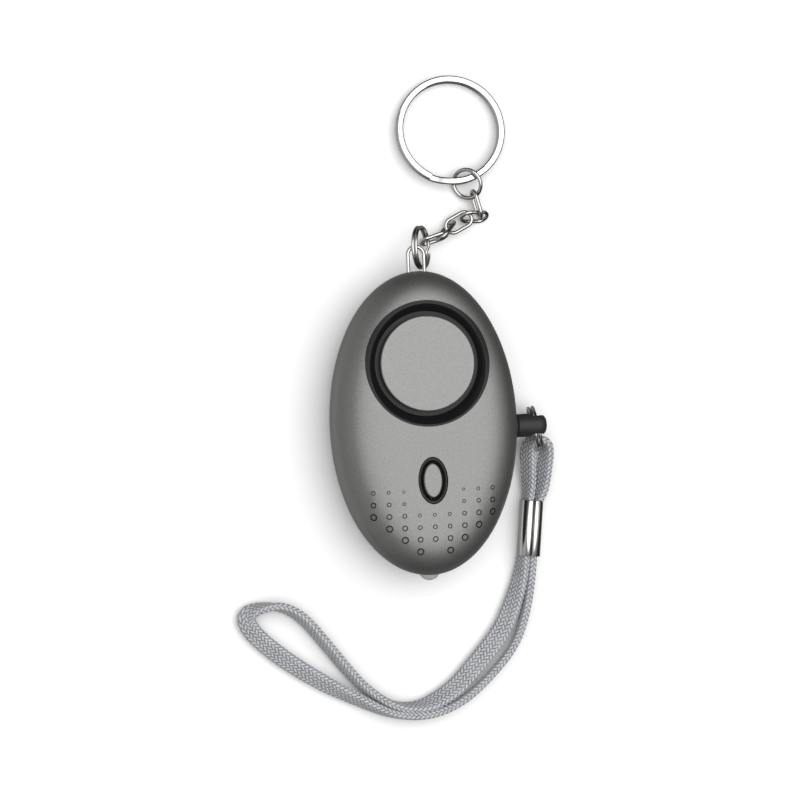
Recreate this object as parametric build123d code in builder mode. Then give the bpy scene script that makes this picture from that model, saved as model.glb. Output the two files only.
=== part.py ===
from build123d import *
import math
import os

os.makedirs("parts", exist_ok=True)

# A personal safety alarm: an egg-shaped siren with a torch, a pull pin on a wrist strap, and a key
# chain. It lies on its flat back. The origin is the middle of the back's flat face, X points to the
# pull pin, Y to the key ring and Z out of the front. Lengths are in millimetres, angles in degrees.

# Casing: two halves that meet in the parting plane
casing_width = 40.0
casing_length = 65.0
front_depth = 9.0
back_depth = 9.0
casing_wall = 1.6
front_rim = 14.0
back_rim = 9.0
front_roundness = 3.2
back_roundness = 2.6
profile_shares = (0.0, 0.2, 0.4, 0.58, 0.73, 0.85, 0.94, 1.0)
lip_height = 0.9
lip_thickness = 0.7
lip_root = 1.5
lip_bite = 0.3
overrun = 2.0
slip_gap = 0.05
parting_height = back_depth

# Screws that hold the halves together
screw_x = 9.5
screw_y = 24.6
screw_shank_radius = 0.85
screw_length = 7.5
screw_head_radius = 1.6
screw_head_height = 1.0
screw_recess_radius = 1.9
screw_seat_height = 3.2
screw_cross_width = 0.4
screw_cross_depth = 0.5
boss_radius = 2.2
boss_gap = 0.05

# Siren behind the front
siren_y = 12.6
bezel_radius = 13.3
bezel_height = 0.7
bezel_throat_radius = 11.1
bezel_lip_radius = 13.0
bezel_lip_rise = 2.9
bezel_throat_rise = 1.0
collar_thickness = 1.0
ledge_width = 1.35
ledge_thickness = 0.8
ledge_top_drop = 2.8
grille_slots = 20
grille_slot_width = 1.0
grille_slot_length = 3.2
disc_radius = 10.1
disc_drop = 0.3
disc_thickness = 1.0
disc_skirt_thickness = 0.6
disc_skirt_height = 0.5
disc_hub_radius = 2.6
disc_stem_radius = 1.5
disc_edge_radius = 0.3
seal_width = 0.9
diaphragm_radius = 12.9
diaphragm_thickness = 0.2
ceramic_radius = 9.0
ceramic_thickness = 0.25

# Torch button and its surround
button_y = -12.1
button_width = 4.05
button_length = 7.3
button_gap = 0.15
button_drop = 0.0
button_dome = 0.35
button_travel = 0.35
button_flange = 1.1
button_flange_height = 0.5
button_stem_radius = 1.4
surround_width = 6.3
surround_length = 9.9
surround_drop = 0.15
surround_bevel = 0.55
surround_flange = 0.9
surround_flange_height = 1.0

# Grip dots below the button: each column's first row, last row and the row where its dots are largest
dot_pitch_x = 3.2
dot_pitch_y = 2.55
dot_first_y = -14.2
dot_radius = 0.48
dot_shrink_share = 0.8
dot_groove_share = 0.62
dot_groove_depth = 0.35
dot_cut_room = 0.28
dot_rows = ((2, 4, 5), (2, 5, 5), (0, 4, 4), (0, 3, 3), (0, 2, 2))
dot_last_column = len(dot_rows) - 1

# Circuit board and what it carries
board_height = 5.6
board_thickness = 1.0
board_top_y = 4.8
board_low_y = -24.3
board_edge_gap = 0.6
board_boss_gap = 0.5
post_radius = 1.6
post_x_share = 0.673
post_y = -8.0
switch_size = 6.0
switch_height = 3.5
switch_plunger_radius = 1.72
switch_plunger_gap = 0.06
switch_plunger_depth = 1.2
switch_leg_width = 0.7
switch_leg_length = 0.8
switch_leg_thickness = 0.3
chip_x_share = -0.556
chip_y = -13.5
chip_width = 3.9
chip_length = 4.9
chip_height = 1.5
chip_leg_pitch = 1.27
chip_leg_width = 0.4
chip_leg_length = 1.0
chip_legs = 4
coil_x_share = -0.468
coil_y = -2.0
coil_radius = 3.6
coil_height = 6.4
coil_core_radius = 2.4
coil_flange_height = 0.8
resistor_length = 3.2
resistor_width = 1.6
resistor_height = 0.6
resistor_x_share = 0.515
resistor_first_y = -12.0
resistor_pitch = 2.6
resistor_count = 3
capacitor_x_share = 0.058
capacitor_y = 0.6
capacitor_radius = 2.0
capacitor_height = 5.4

# Torch LED in the lower end
led_radius = 2.45
led_length = 8.7
led_flange_radius = 2.9
led_flange_height = 1.0
led_proud = 1.15
led_hole_gap = 0.1
led_pocket_radius = 1.9
led_pocket_depth = 4.2
led_lead_size = 0.5
led_lead_spacing = 2.54
led_lead_inset = 0.25
led_lead_bend = 1.4
led_cup_radius = 0.7

# Three button cells in a cradle in the back
cell_radius = 5.8
cell_height = 5.4
cell_count = 3
cell_gap = 0.05
cell_cap_radius = 4.9
cell_cap_height = 0.5
cell_floor_gap = 0.3
contact_gap = 0.12
contact_thickness = 0.35
contact_width = 7.0
contact_bow = 0.8
cradle_thickness = 1.0
cradle_gap = 0.3
cradle_height = 4.6

# Pull pin, its socket and the switch leaves that it holds apart
pin_y = -1.5
pin_radius = 1.0
pin_depth = 10.4
pin_bore_gap = 0.05
socket_flange_radius = 2.9
socket_flange_height = 1.0
socket_flange_proud = 0.35
socket_radius = 1.9
socket_length = 4.6
head_radius = 2.5
head_length = 6.5
head_gap = 0.15
head_edge_radius = 0.9
head_insert = 2.0
head_hole_share = 0.65
head_hole_radius = 1.7
leaf_thickness = 0.25
leaf_width = 2.4
leaf_rise = 5.0
leaf_gap = 0.15
leaf_socket_gap = 0.93
pin_travel = 14.0

# Ring through the pin head
pin_ring_radius = 4.75
pin_ring_wire = 0.6
pin_ring_turn_gap = 0.3
pin_ring_lean = -8.0
pin_ring_yaw = 10.0
pin_ring_rise = 0.95
pin_ring_slip = 0.9
pin_ring_shift = 0.0

# Wrist strap: a flat braid standing on edge, pinched by a crimp into a short neck and a long loop
strap_width = 4.6
strap_thickness = 1.4
strand_spacing = 1.8
crimp_x = 24.5
crimp_y = -18.0
crimp_turn = 6.13
crimp_length = 12.1
crimp_wall = 0.4
crimp_side_gap = 0.3
crimp_face_gap = 0.2
crimp_corner = 0.9
crimp_seam = 0.25
crimp_floor_gap = 0.1
neck_tilt = 6.7
neck_reach = 14.0
neck_shares = (
    (-0.064, -0.03), (-0.079, 0.3), (-0.104, 0.586), (-0.112, 0.8), (-0.044, 0.96),
    (0.107, 0.993), (0.236, 0.886), (0.271, 0.614), (0.2, 0.28), (0.075, 0.06), (0.064, -0.03),
)
loop_reach = 65.0
loop_shares = (
    (-0.0185, -0.1954), (-0.0585, -0.3), (-0.1492, -0.3985), (-0.2492, -0.4785), (-0.3646, -0.5169),
    (-0.4831, -0.5062), (-0.5877, -0.4538), (-0.7138, -0.3846), (-0.8462, -0.2938), (-0.9385, -0.2092),
    (-0.9662, -0.1523), (-0.9231, -0.1231), (-0.8462, -0.12), (-0.7769, -0.1569), (-0.7015, -0.2523),
    (-0.6262, -0.3538), (-0.5677, -0.4185), (-0.4815, -0.4754), (-0.4092, -0.4862), (-0.3508, -0.4754),
    (-0.2677, -0.4292), (-0.2031, -0.3631), (-0.1123, -0.2631), (-0.0723, -0.1908),
)
exit_runs = (4.0, 3.0)
loop_seat = 1.4
bend_share = 0.45

# Wire bail in the upper end
bail_wire = 0.8
bail_width = 4.3
bail_reach = 5.7
bail_root = 2.6
bail_foot = 1.6
bail_bend = 0.7
bail_hole_gap = 0.08

# Split ring on the bail
small_ring_radius = 4.42
small_ring_wire = 0.66
small_ring_turn_gap = 0.05
small_ring_lean = 61.0
small_ring_x = 1.75
small_ring_overhang = 0.45
small_ring_drop = 2.85

# Chain of oval links, from the small split ring to the jump ring
link_length = 6.8
link_width = 4.0
link_wire = 0.8
link_step_shares = (
    (0.533, 0.307, -0.514), (0.39, 0.235, 0.023), (0.454, 0.263, -0.088),
    (0.513, 0.165, -0.003), (0.07, 0.393, 0.097),
)
link_turns = (
    (16.8, 6.8, 69.4), (45.2, -31.3, 99.6), (27.6, 10.2, -9.0), (0.4, -14.1, 57.1), (103.7, -3.4, -84.9),
)
jump_ring_radius = 3.17
jump_ring_wire = 0.85
jump_step_share = (-0.274, 0.665, -0.022)
jump_turns = (-60.6, 0.0, 38.0)

# Key ring: two flat turns joined by a jog
key_ring_radius = 11.25
key_ring_section = 1.5
key_ring_layer = 0.95
key_ring_corner = 0.35
key_ring_turn_gap = 0.05
key_step_share = (-0.452, 1.733, -0.097)
key_turns = (0.0, 0.0, -4.63)
seam_jog = 24.0
key_seam = -92.0
small_seam = 10.0
pin_seam = 40.0
jump_seam = 150.0
jog_shares = (0.0, 0.25, 0.5, 0.75, 1.0)

half_width = casing_width / 2
half_length = casing_length / 2
front_top = parting_height + front_depth


def finish(piece, name):
    """Labels a piece and writes it to its own file."""
    piece.part.label = name
    export_step(piece.part, f"parts/{name}.step")


def egg_half(width, length, depth, rim, roundness, facing, mode=Mode.ADD):
    """Half of the egg: ellipses that shrink along a rounded profile, away from the parting plane."""
    outlines = []
    for share in profile_shares:
        turn = math.radians(90 * share)
        rise = depth * math.sin(turn) ** (2 / roundness)
        inset = rim * (1 - math.cos(turn) ** (2 / roundness))
        with BuildSketch(Plane.XY.offset(parting_height + facing * rise)) as outline:
            Ellipse(width - inset, length - inset)
        outlines.append(outline.sketch)
    loft(outlines, mode=mode)


def front_egg(inset=0.0, mode=Mode.ADD):
    """The front half of the egg, drawn in from the outer surface by an inset."""
    egg_half(half_width - inset, half_length - inset, front_depth - inset,
             front_rim - inset, front_roundness, 1, mode)


def back_egg(inset=0.0, mode=Mode.ADD):
    """The back half of the egg, drawn in from the outer surface by an inset."""
    egg_half(half_width - inset, half_length - inset, back_depth - inset,
             back_rim - inset, back_roundness, -1, mode)


def front_height(x, y):
    """Height of the outer front surface over a place on it."""
    low, high = 0.0, front_rim
    for _ in range(40):
        inset = (low + high) / 2
        reach = (x / (half_width - inset)) ** 2 + (y / (half_length - inset)) ** 2
        low, high = (low, inset) if reach > 1 else (inset, high)
    left_over = (1 - inset / front_rim) ** front_roundness
    return parting_height + front_depth * (1 - left_over) ** (1 / front_roundness)


def tube(x, y, low, high, radius, mode=Mode.ADD):
    """An upright cylinder between two heights."""
    with BuildSketch(Plane.XY.offset(low)) as outline:
        with Locations((x, y)):
            Circle(radius)
    extrude(outline.sketch, amount=high - low, mode=mode)


def oval(y, low, high, width, length, mode=Mode.ADD):
    """An upright oval column between two heights, on the middle line."""
    with BuildSketch(Plane.XY.offset(low)) as outline:
        with Locations((0, y)):
            Ellipse(width / 2, length / 2)
    extrude(outline.sketch, amount=high - low, mode=mode)


def block(x, y, low, size_x, size_y, size_z, mode=Mode.ADD):
    """An upright box that stands on a height, centred on a place."""
    with Locations((x, y, low)):
        Box(size_x, size_y, size_z, align=(Align.CENTER, Align.CENTER, Align.MIN), mode=mode)


def leaning_plane(centre, yaw, pitch, roll):
    """A plane turned about Z, then raised along its X direction, then rolled about it."""
    turn, rise, tip = math.radians(yaw), math.radians(pitch), math.radians(roll)
    along = Vector(math.cos(turn) * math.cos(rise), math.sin(turn) * math.cos(rise), math.sin(rise))
    level = Vector(-math.sin(turn), math.cos(turn), 0)
    face = along.cross(level)
    return Plane(origin=centre, x_dir=along, z_dir=face * math.cos(tip) - level * math.sin(tip))


def ring_station(place, radius, turn, height):
    """The plane across a ring's wire at a turn about the ring's axis."""
    angle = math.radians(turn)
    radial = place.x_dir * math.cos(angle) + place.y_dir * math.sin(angle)
    ahead = place.y_dir * math.cos(angle) - place.x_dir * math.sin(angle)
    centre = place.origin + radial * radius + place.z_dir * height
    return Plane(origin=centre, x_dir=radial, z_dir=ahead)


def wire_section(station, width, height, corner):
    """The wire's section on a station: round where it is as wide as it is high."""
    with BuildSketch(station) as section:
        if width > height:
            RectangleRounded(width, height, corner)
        else:
            Circle(width / 2)
    return section.sketch


def split_ring(place, radius, width, height, corner, turn_gap, seam):
    """Two turns of wire on each other, joined by a jog, with an end on each side of the jog."""
    step = height + turn_gap
    axis = Axis(place.origin, place.z_dir)
    end_gap = math.degrees(turn_gap / radius)
    start = wire_section(ring_station(place, radius, seam + end_gap, -step / 2), width, height, corner)
    revolve(start, axis=axis, revolution_arc=360 - seam_jog - end_gap)
    jog = []
    for share in jog_shares:
        climb = share * share * (3 - 2 * share)
        station = ring_station(place, radius, seam - seam_jog * (1 - share), step * (climb - 1 / 2))
        jog.append(wire_section(station, width, height, corner))
    loft(jog)
    revolve(jog[-1], axis=axis, revolution_arc=360 - seam_jog - end_gap)


def oval_link(place):
    """One closed chain link of round wire."""
    bend = (link_width - link_wire) / 2
    half_run = (link_length - link_width) / 2
    with BuildLine(place) as route:
        Line((-half_run, bend), (half_run, bend))
        CenterArc((half_run, 0), bend, 90, -180)
        Line((half_run, -bend), (-half_run, -bend))
        CenterArc((-half_run, 0), bend, 270, -180)
    start = place.origin - place.x_dir * half_run + place.y_dir * bend
    with BuildSketch(Plane(origin=start, z_dir=place.x_dir)) as section:
        Circle(link_wire / 2)
    sweep(section.sketch, path=route.line)


def bend_radii(points):
    """The largest even bends that a route's runs allow, one for each inner point."""
    radii = []
    for before, here, after in zip(points, points[1:], points[2:]):
        arriving = Vector(*here) - Vector(*before)
        leaving = Vector(*after) - Vector(*here)
        turn = math.radians(arriving.get_angle(leaving))
        radii.append(bend_share * min(arriving.length, leaving.length) / math.tan(turn / 2))
    return radii


def strap(place, points, name):
    """A flat strap on edge that follows a route on a plane."""
    radii = bend_radii(points)
    print(name, "bend radii", [round(radius, 1) for radius in radii])
    with BuildLine(place) as route:
        FilletPolyline(*points, radius=radii)
    with BuildSketch(Plane(origin=route.line @ 0, x_dir=place.z_dir, z_dir=route.line % 0)) as section:
        Rectangle(strap_width, strap_thickness)
    sweep(section.sketch, path=route.line)
    return route.wire().length


# Casing, front half
ledge_top = front_top - ledge_top_drop
ledge_low = ledge_top - ledge_thickness
bore_radius = bezel_radius + slip_gap
ledge_radius = bezel_radius - ledge_width
button_hole_width = surround_width + 2 * slip_gap
button_hole_length = surround_length + 2 * slip_gap
led_axis = Axis((0, 0, parting_height), (0, 1, 0))
board_half_width = half_width - casing_wall - lip_thickness - board_edge_gap
board_half_length = half_length - casing_wall - lip_thickness - board_edge_gap
bail_leg = (bail_width - bail_wire) / 2
bail_root_y = half_length - bail_root

with BuildPart() as front_hollow:
    front_egg(casing_wall)
    tube(0, siren_y, ledge_low, ledge_top + casing_wall / 2, bezel_radius + collar_thickness, Mode.SUBTRACT)
    for x in (-screw_x, screw_x):
        for y in (-screw_y, screw_y):
            tube(x, y, parting_height, front_top, boss_radius, Mode.SUBTRACT)


def case_passages():
    """Cuts the openings that both halves share: for the LED, the bail's legs and the pin's socket."""
    with BuildSketch(Plane.XZ.offset(half_length - led_length)) as led_hole:
        with Locations((0, parting_height)):
            Circle(led_radius + led_hole_gap)
    extrude(led_hole.sketch, amount=2 * led_length, mode=Mode.SUBTRACT)
    with BuildSketch(Plane.XZ.offset(-half_length - overrun)) as bail_holes:
        with Locations((-bail_leg, parting_height), (bail_leg, parting_height)):
            Circle(bail_wire / 2 + bail_hole_gap)
    extrude(bail_holes.sketch, amount=bail_root + overrun, mode=Mode.SUBTRACT)
    with BuildSketch(Plane.YZ.offset(socket_inner_x)) as socket_hole:
        with Locations((pin_y, parting_height)):
            Circle(socket_radius + slip_gap)
    extrude(socket_hole.sketch, amount=casing_width, mode=Mode.SUBTRACT)
    with BuildSketch(Plane.YZ.offset(socket_seat_x)) as flange_seat:
        with Locations((pin_y, parting_height)):
            Circle(socket_flange_radius + slip_gap)
    extrude(flange_seat.sketch, amount=casing_width, mode=Mode.SUBTRACT)


side_x = half_width * math.sqrt(1 - (pin_y / half_length) ** 2)
socket_face_x = side_x + socket_flange_proud
socket_seat_x = socket_face_x - socket_flange_height
socket_inner_x = socket_seat_x - socket_length

dot_seats = []
for column in range(-dot_last_column, dot_last_column + 1):
    first_row, last_row, border_row = dot_rows[abs(column)]
    for row in range(first_row, last_row + 1):
        radius = dot_radius * dot_shrink_share ** (border_row - row)
        dot_x = column * dot_pitch_x
        dot_y = dot_first_y - row * dot_pitch_y
        outward = Vector(dot_x / half_width ** 2, dot_y / half_length ** 2, 0).normalized()
        step = outward * radius
        fall = front_height(dot_x - step.X, dot_y - step.Y) - front_height(dot_x + step.X, dot_y + step.Y)
        slope = math.atan2(fall, 2 * radius)
        out = outward * math.sin(slope) + Vector(0, 0, math.cos(slope))
        dot_floor = Vector(dot_x, dot_y, front_height(dot_x, dot_y)) - out * dot_groove_depth
        dot_seats.append((Plane(origin=dot_floor, z_dir=out), radius))

with BuildPart() as front_shell:
    front_egg()
    add(front_hollow.part, mode=Mode.SUBTRACT)
    tube(0, siren_y, ledge_top, front_top + overrun, bore_radius, Mode.SUBTRACT)
    tube(0, siren_y, ledge_low - overrun, ledge_top, ledge_radius, Mode.SUBTRACT)
    tube(0, siren_y, ledge_low - overrun, ledge_low, diaphragm_radius + slip_gap, Mode.SUBTRACT)
    oval(button_y, parting_height, front_top + overrun, button_hole_width, button_hole_length, Mode.SUBTRACT)
    for x in (-screw_x, screw_x):
        for y in (-screw_y, screw_y):
            pilot_top = screw_seat_height + screw_length + slip_gap
            tube(x, y, parting_height, pilot_top, screw_shank_radius + slip_gap, Mode.SUBTRACT)
    case_passages()
    for seat, radius in dot_seats:
        with BuildSketch(seat):
            Circle(radius * (1 + dot_groove_share))
    extrude(amount=dot_groove_depth + dot_cut_room, mode=Mode.SUBTRACT)
    for seat, radius in dot_seats:
        with BuildSketch(seat):
            Circle(radius)
    extrude(amount=dot_groove_depth)
finish(front_shell, "front_shell")

# Casing, back half
with BuildPart() as back_hollow:
    back_egg(casing_wall)
    for x in (-screw_x, screw_x):
        for y in (-screw_y, screw_y):
            tube(x, y, 0, parting_height, boss_radius + boss_gap, Mode.SUBTRACT)
    for side in (-1, 1):
        post_x = side * post_x_share * board_half_width
        tube(post_x, post_y, 0, board_height, post_radius, Mode.SUBTRACT)
    cradle_low = casing_wall - slip_gap
    for side in (-1, 1):
        cell_span = cell_count * cell_height + (cell_count - 1) * cell_gap
        end_x = cell_span / 2 + contact_gap + contact_bow + contact_thickness + cradle_gap
        block(side * (end_x + cradle_thickness / 2), siren_y, cradle_low,
              cradle_thickness, cell_radius, cradle_height, Mode.SUBTRACT)
        block(0, siren_y + side * (cell_radius + cradle_gap + cradle_thickness / 2), cradle_low,
              cell_span, cradle_thickness, cradle_height, Mode.SUBTRACT)

with BuildPart() as rear_shell:
    back_egg()
    add(back_hollow.part, mode=Mode.SUBTRACT)
    with BuildSketch(Plane.XY.offset(parting_height - lip_root)):
        Ellipse(half_width - casing_wall + lip_bite, half_length - casing_wall + lip_bite)
        Ellipse(half_width - casing_wall - lip_thickness, half_length - casing_wall - lip_thickness,
                mode=Mode.SUBTRACT)
    extrude(amount=lip_root)
    with BuildSketch(Plane.XY.offset(parting_height)):
        Ellipse(half_width - casing_wall - slip_gap, half_length - casing_wall - slip_gap)
        Ellipse(half_width - casing_wall - lip_thickness, half_length - casing_wall - lip_thickness,
                mode=Mode.SUBTRACT)
    extrude(amount=lip_height)
    for x in (-screw_x, screw_x):
        for y in (-screw_y, screw_y):
            tube(x, y, parting_height - slip_gap, front_top, boss_radius + 4 * boss_gap, Mode.SUBTRACT)
            tube(x, y, screw_seat_height, parting_height - slip_gap, boss_radius + boss_gap)
            tube(x, y, -overrun, screw_seat_height, screw_recess_radius, Mode.SUBTRACT)
            tube(x, y, 0, parting_height, screw_shank_radius + 3 * slip_gap, Mode.SUBTRACT)
    foot_room = 2 * (bail_leg + bail_foot + bail_wire)
    block(0, bail_root_y, parting_height - bail_wire, foot_room, 2 * (bail_root - casing_wall - lip_bite),
          2 * lip_height, Mode.SUBTRACT)
    case_passages()
finish(rear_shell, "rear_shell")

with BuildPart() as case_screws:
    for x in (-screw_x, screw_x):
        for y in (-screw_y, screw_y):
            tube(x, y, screw_seat_height, screw_seat_height + screw_length, screw_shank_radius)
            head_low = screw_seat_height - screw_head_height
            tube(x, y, head_low, screw_seat_height, screw_head_radius)
            block(x, y, head_low, screw_cross_width, screw_head_radius, screw_cross_depth, Mode.SUBTRACT)
            block(x, y, head_low, screw_head_radius, screw_cross_width, screw_cross_depth, Mode.SUBTRACT)
finish(case_screws, "case_screws")

# Siren: bezel with its grille, closing disc, diaphragm with its ceramic, and seal
siren_axis = Axis((0, siren_y, 0), (0, 0, 1))
bezel_top = front_top + overrun
throat_low = ledge_top + bezel_height
slot_radius = (bezel_throat_radius + disc_hub_radius) / 2 + slip_gap

with BuildPart() as front_hood:
    front_egg()

with BuildPart() as speaker_bezel:
    with BuildSketch(Plane.YZ):
        with BuildLine():
            Polyline(
                (siren_y, ledge_top),
                (siren_y + bezel_radius, ledge_top),
                (siren_y + bezel_radius, bezel_top),
                (siren_y + bezel_lip_radius, bezel_top),
                (siren_y + bezel_lip_radius, ledge_top + bezel_lip_rise),
                (siren_y + bezel_throat_radius, ledge_top + bezel_throat_rise),
                (siren_y + bezel_throat_radius, throat_low),
                (siren_y, throat_low),
                close=True,
            )
        make_face()
    revolve(axis=siren_axis)
    add(front_hood.part, mode=Mode.INTERSECT)
    with BuildSketch(Plane.XY.offset(ledge_top)):
        with Locations((0, siren_y)):
            with PolarLocations(slot_radius, grille_slots):
                SlotOverall(grille_slot_length, grille_slot_width)
    extrude(amount=bezel_height, mode=Mode.SUBTRACT)
    tube(0, siren_y, ledge_top, throat_low, disc_stem_radius + slip_gap, Mode.SUBTRACT)
finish(speaker_bezel, "speaker_bezel")

disc_top = front_top - disc_drop
disc_low = disc_top - disc_thickness
with BuildPart() as sound_disc:
    tube(0, siren_y, disc_low - disc_skirt_height, disc_top, disc_radius)
    fillet(sound_disc.edges().group_by(Axis.Z)[-1], disc_edge_radius)
    skirt_radius = disc_radius - disc_skirt_thickness
    tube(0, siren_y, disc_low - disc_skirt_height, disc_low, skirt_radius, Mode.SUBTRACT)
    tube(0, siren_y, throat_low, disc_low, disc_hub_radius)
    tube(0, siren_y, ledge_top, disc_low, disc_stem_radius)
finish(sound_disc, "sound_disc")

seal_low = ledge_low
with BuildPart() as diaphragm_seal:
    seal_outer = ledge_radius - slip_gap
    tube(0, siren_y, seal_low, ledge_top, seal_outer)
    tube(0, siren_y, seal_low, ledge_top, seal_outer - seal_width, Mode.SUBTRACT)
finish(diaphragm_seal, "diaphragm_seal")

with BuildPart() as diaphragm:
    tube(0, siren_y, ledge_low - diaphragm_thickness, ledge_low, diaphragm_radius)
finish(diaphragm, "diaphragm")

ceramic_low = ledge_low - diaphragm_thickness - ceramic_thickness
with BuildPart() as piezo_ceramic:
    tube(0, siren_y, ceramic_low, ledge_low - diaphragm_thickness, ceramic_radius)
finish(piezo_ceramic, "piezo_ceramic")

# Circuit board and its parts
board_top = board_height + board_thickness
switch_top = board_top + switch_height
cradle_low_y = siren_y - cell_radius - cradle_gap - cradle_thickness

with BuildPart() as circuit_board:
    with BuildSketch(Plane.XY.offset(board_height)):
        Ellipse(board_half_width, board_half_length)
        with Locations((0, (board_top_y + board_low_y) / 2)):
            Rectangle(casing_width, board_top_y - board_low_y, mode=Mode.INTERSECT)
        with Locations((-screw_x, -screw_y), (screw_x, -screw_y)):
            Circle(boss_radius + board_boss_gap, mode=Mode.SUBTRACT)
    extrude(amount=board_thickness)
finish(circuit_board, "circuit_board")

with BuildPart() as tact_switch:
    block(0, button_y, board_top, switch_size, switch_size, switch_height)
    fillet(tact_switch.edges().filter_by(Axis.Z), switch_leg_thickness)
    hole_low = switch_top - switch_plunger_depth
    hole_radius = switch_plunger_radius + switch_plunger_gap
    tube(0, button_y, hole_low, switch_top, hole_radius, Mode.SUBTRACT)
    for side in (-1, 1):
        for step in (-1, 1):
            block(side * (switch_size + switch_leg_length) / 2, button_y + step * switch_size / 3,
                  board_top, switch_leg_length, switch_leg_width, switch_leg_thickness)
finish(tact_switch, "tact_switch")

chip_x = chip_x_share * board_half_width
with BuildPart() as driver_chip:
    block(chip_x, chip_y, board_top, chip_width, chip_length, chip_height)
    chamfer(driver_chip.edges().group_by(Axis.Z)[-1], chip_leg_width / 2)
    for side in (-1, 1):
        for leg in range(chip_legs):
            leg_y = chip_y + (leg - (chip_legs - 1) / 2) * chip_leg_pitch
            block(chip_x + side * (chip_width + chip_leg_length) / 2, leg_y, board_top,
                  chip_leg_length, chip_leg_width, chip_leg_width)
finish(driver_chip, "driver_chip")

coil_x = coil_x_share * board_half_width
with BuildPart() as boost_coil:
    tube(coil_x, coil_y, board_top, board_top + coil_flange_height, coil_radius)
    tube(coil_x, coil_y, board_top, board_top + coil_height, coil_core_radius)
    tube(coil_x, coil_y, board_top + coil_height - coil_flange_height, board_top + coil_height, coil_radius)
finish(boost_coil, "boost_coil")

resistor_x = resistor_x_share * board_half_width
capacitor_x = capacitor_x_share * board_half_width
with BuildPart() as board_components:
    for step in range(resistor_count):
        block(resistor_x, resistor_first_y + step * resistor_pitch, board_top,
              resistor_length, resistor_width, resistor_height)
    tube(capacitor_x, capacitor_y, board_top, board_top + capacitor_height, capacitor_radius)
finish(board_components, "board_components")

# Torch button with its plunger, in a ring-shaped surround
under_front = front_height(surround_width / 2 + surround_flange, button_y) - casing_wall
flange_top = under_front - 2 * slip_gap
surround_top = front_height(0, button_y) - surround_drop
with BuildPart() as button_surround:
    oval(button_y, flange_top - surround_flange_height, flange_top,
         surround_width + 2 * surround_flange, surround_length + 2 * surround_flange)
    oval(button_y, flange_top, surround_top, surround_width, surround_length)
    chamfer(button_surround.edges().group_by(Axis.Z)[-1], slip_gap * 3)
    oval(button_y, flange_top - surround_flange_height - overrun, front_top + overrun,
         button_width + 2 * button_gap, button_length + 2 * button_gap, Mode.SUBTRACT)
    chamfer(button_surround.edges().group_by(Axis.Z)[-1].sort_by(SortBy.LENGTH)[0], surround_bevel)
finish(button_surround, "button_surround")

button_top = front_height(0, button_y) - button_drop
button_flange_top = flange_top - surround_flange_height - slip_gap
with BuildPart() as torch_button:
    oval(button_y, button_flange_top - button_flange_height, button_flange_top,
         button_width + button_flange, button_length + button_flange)
    oval(button_y, button_flange_top, button_top, button_width, button_length)
    fillet(torch_button.edges().group_by(Axis.Z)[-1], button_dome)
    tube(0, button_y, switch_top + button_travel + slip_gap, button_flange_top, button_stem_radius)
finish(torch_button, "torch_button")

with BuildPart() as switch_plunger:
    plunger_low = switch_top - switch_plunger_depth + button_travel + slip_gap
    tube(0, button_y, plunger_low, switch_top + button_travel + slip_gap, switch_plunger_radius)
finish(switch_plunger, "switch_plunger")

# Torch LED with its leads
led_tip_y = -half_length - led_proud
led_back_y = led_tip_y + led_length
led_dome_y = led_tip_y + led_radius
with BuildPart() as torch_led:
    with BuildSketch(Plane.XY.offset(parting_height)):
        with BuildLine():
            Polyline(
                (0, led_back_y),
                (led_flange_radius, led_back_y),
                (led_flange_radius, led_back_y - led_flange_height),
                (led_radius, led_back_y - led_flange_height),
                (led_radius, led_dome_y),
            )
            CenterArc((0, led_dome_y), led_radius, 0, -90)
            Line((0, led_tip_y), (0, led_back_y))
        make_face()
    revolve(axis=led_axis)
    with BuildSketch(Plane.XZ.offset(-led_back_y)):
        with Locations((0, parting_height)):
            Circle(led_pocket_radius)
    extrude(amount=led_pocket_depth, mode=Mode.SUBTRACT)
finish(torch_led, "torch_led")

with BuildPart() as led_leads:
    lead_end_y = led_back_y - led_pocket_depth + 2 * led_lead_inset
    bend_y = led_back_y + led_lead_bend
    for side in (-1, 1):
        lead_x = side * led_lead_spacing / 2
        block(lead_x, (lead_end_y + bend_y) / 2, parting_height - led_lead_size / 2,
              led_lead_size, bend_y - lead_end_y, led_lead_size)
        block(lead_x, bend_y - led_lead_size / 2, board_top,
              led_lead_size, led_lead_size, parting_height + led_lead_size / 2 - board_top)
    cup_x = -led_lead_spacing / 2 + led_lead_size / 2 + led_cup_radius / 2
    block(cup_x, lead_end_y + led_lead_size, parting_height - led_lead_size / 2,
          led_cup_radius, 2 * led_lead_size, led_lead_size)
finish(led_leads, "led_leads")

# Button cells and their spring contacts
cell_axis_z = casing_wall + cell_floor_gap + cell_radius
with BuildPart() as battery_cells:
    for step in range(cell_count):
        cell_left = -cell_span / 2 + step * (cell_height + cell_gap)
        with BuildSketch(Plane.YZ.offset(cell_left)):
            with Locations((siren_y, cell_axis_z)):
                Circle(cell_cap_radius)
        extrude(amount=cell_cap_height)
        with BuildSketch(Plane.YZ.offset(cell_left + cell_cap_height)):
            with Locations((siren_y, cell_axis_z)):
                Circle(cell_radius)
        extrude(amount=cell_height - cell_cap_height)
finish(battery_cells, "battery_cells")

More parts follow.
